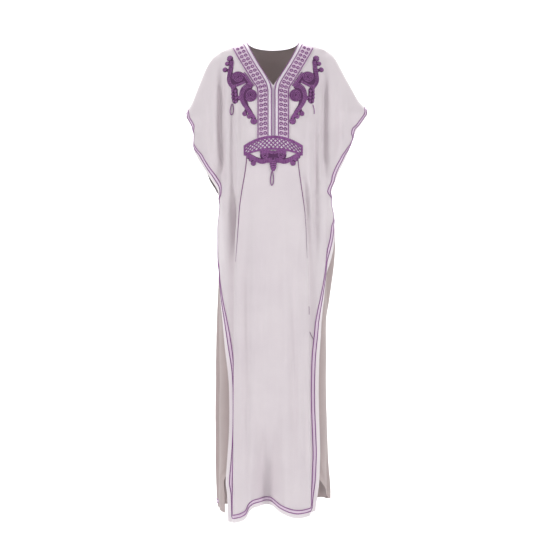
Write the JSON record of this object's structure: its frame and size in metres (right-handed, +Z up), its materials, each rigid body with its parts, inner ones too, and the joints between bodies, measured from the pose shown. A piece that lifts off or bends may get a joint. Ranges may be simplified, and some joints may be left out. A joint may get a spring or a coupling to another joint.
{
  "type": "kaftan",
  "caption": "Long loose kaftan in its worn hollow form, with wide short sleeves, a banded V neck, corded scrolls, and ribbon along its sleeves, sides and hem",
  "frame": {"origin": "midway between the neck points, at the height at which the wearer's shoulders carry the garment", "axes": "+Z up, the garment's front faces -Y, +X to the right as seen from the front"},
  "size_m": [0.5453, 0.2584, 1.4223],
  "materials": {
    "crepe": "matt pale lilac-grey crepe",
    "ribbon": "soft ribbon, pale with a purple line along each edge",
    "band": "pale pink-white satin ground with purple embroidered rings and lattice",
    "cord": "purple viscose cord with a soft sheen"
  },
  "bodies": {
    "root": {"front_panel": "crepe", "back_panel": "crepe", "front_edge_ribbon": "ribbon", "back_sleeve_ribbon_left": "ribbon", "back_sleeve_ribbon_right": "ribbon", "back_hem_ribbon": "ribbon", "neck_band_left": "band", "neck_band_right": "band", "waist_band": "band", "chest_scroll_left": "cord", "chest_scroll_right": "cord", "waist_scroll": "cord", "chest_loop_left": "cord", "chest_strand_right": "cord", "waist_loop": "cord"}
  },
  "joints": []
}
